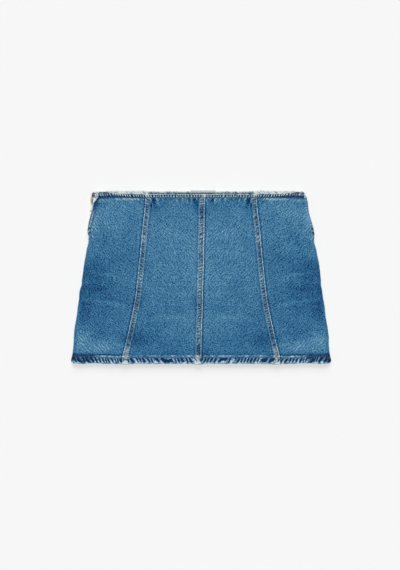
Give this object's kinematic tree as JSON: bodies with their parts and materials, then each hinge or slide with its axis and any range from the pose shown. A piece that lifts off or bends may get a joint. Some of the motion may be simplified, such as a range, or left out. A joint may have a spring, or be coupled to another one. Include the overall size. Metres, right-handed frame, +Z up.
{
  "type": "denim skort",
  "caption": "Panelled denim mini skort laid flat on its back, with a narrow bound waist, felled seams, a side zip and plain shorts inside.",
  "frame": {"origin": "middle of the laid-out garment, on the surface it rests on", "axes": "+X across the garment to the side with no zip, +Y from the hem to the waist, +Z up out of its front"},
  "size_m": [0.4418, 0.2944, 0.0101],
  "materials": {
    "washed_denim": "mid-blue washed denim twill",
    "shorts_cotton": "plain woven cotton",
    "zip_tape_ecru": "woven tape",
    "antique_brass": "antique, lightly worn",
    "label_grey": "smooth woven ribbon, plain"
  },
  "bodies": {
    "garment": {"front_side_left": "washed_denim", "front_centre_left": "washed_denim", "front_centre_right": "washed_denim", "front_side_right": "washed_denim", "back_side_left": "washed_denim", "back_centre": "washed_denim", "back_side_right": "washed_denim", "waist_binding_front": "washed_denim", "waist_binding_back": "washed_denim", "shorts_front_left": "shorts_cotton", "shorts_front_right": "shorts_cotton", "shorts_back_left": "shorts_cotton", "shorts_back_right": "shorts_cotton", "zip_tape_front": "zip_tape_ecru", "zip_tape_back": "zip_tape_ecru", "zip_chain": "antique_brass", "zip_slider": "antique_brass", "zip_bottom_stop": "antique_brass", "waist_label": "label_grey"},
    "pull_tab": {"zip_pull_tab": "antique_brass"}
  },
  "joints": [
    {"name": "pull_tab_swing", "type": "hinge", "parent": "garment", "child": "pull_tab", "pos_m": [-0.1861, 0.14073, 0.0031], "axis": [0, 0, -1], "range_deg": [0, 165]}
  ]
}
